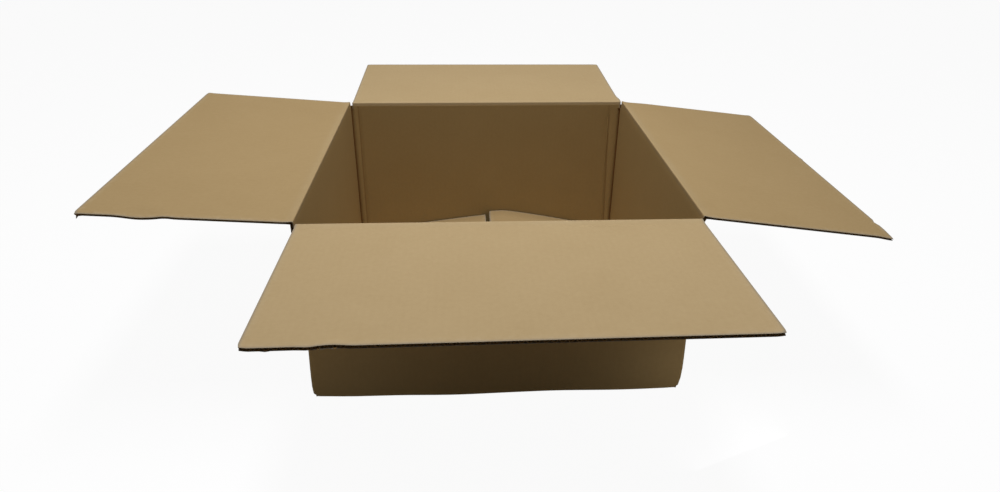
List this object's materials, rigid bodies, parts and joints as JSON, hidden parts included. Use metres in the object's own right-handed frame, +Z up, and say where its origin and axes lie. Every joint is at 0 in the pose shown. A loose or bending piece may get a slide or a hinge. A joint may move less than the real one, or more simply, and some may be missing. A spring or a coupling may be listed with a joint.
{
  "type": "open cardboard box",
  "caption": "Square slotted carton of kraft corrugated board, standing open with its top flaps spread and its inner bottom flaps sprung up.",
  "frame": {"origin": "on the floor, under the middle of the four walls", "axes": "+Z up, the front wall faces -Y, the right wall faces +X"},
  "size_m": [0.8027, 0.8042, 0.2297],
  "materials": {
    "kraft_board": "matte brown kraft paper"
  },
  "bodies": {
    "carton": {"carton_body": "kraft_board"},
    "front_flap": {"front_flap": "kraft_board"},
    "back_flap": {"back_flap": "kraft_board"},
    "left_flap": {"left_flap": "kraft_board"},
    "right_flap": {"right_flap": "kraft_board"},
    "left_bottom_flap": {"left_bottom_flap": "kraft_board"},
    "right_bottom_flap": {"right_bottom_flap": "kraft_board"}
  },
  "joints": [
    {"name": "front_flap_fold", "type": "hinge", "parent": "carton", "child": "front_flap", "pos_m": [0, -0.2032, 0.2094], "axis": [-1, 0, 0], "range_deg": [-89.1, 178.9]},
    {"name": "back_flap_fold", "type": "hinge", "parent": "carton", "child": "back_flap", "pos_m": [0, 0.2032, 0.2094], "axis": [1, 0, 0], "range_deg": [-90.4, 177.6]},
    {"name": "left_flap_fold", "type": "hinge", "parent": "carton", "child": "left_flap", "pos_m": [-0.2032, 0, 0.2126], "axis": [0, 1, 0], "range_deg": [-92, 176]},
    {"name": "right_flap_fold", "type": "hinge", "parent": "carton", "child": "right_flap", "pos_m": [0.2032, 0, 0.2126], "axis": [0, -1, 0], "range_deg": [-80.8, 187.2]},
    {"name": "left_bottom_fold", "type": "hinge", "parent": "carton", "child": "left_bottom_flap", "pos_m": [-0.2, 0, 0.0064], "axis": [0, -1, 0], "range_deg": [-6.4, 81.6], "stiffness_Nm_per_rad": 0.08, "springref_deg": 26.59},
    {"name": "right_bottom_fold", "type": "hinge", "parent": "carton", "child": "right_bottom_flap", "pos_m": [0.2, 0, 0.0064], "axis": [0, 1, 0], "range_deg": [-9.1, 78.9], "stiffness_Nm_per_rad": 0.08, "springref_deg": 26.24}
  ]
}
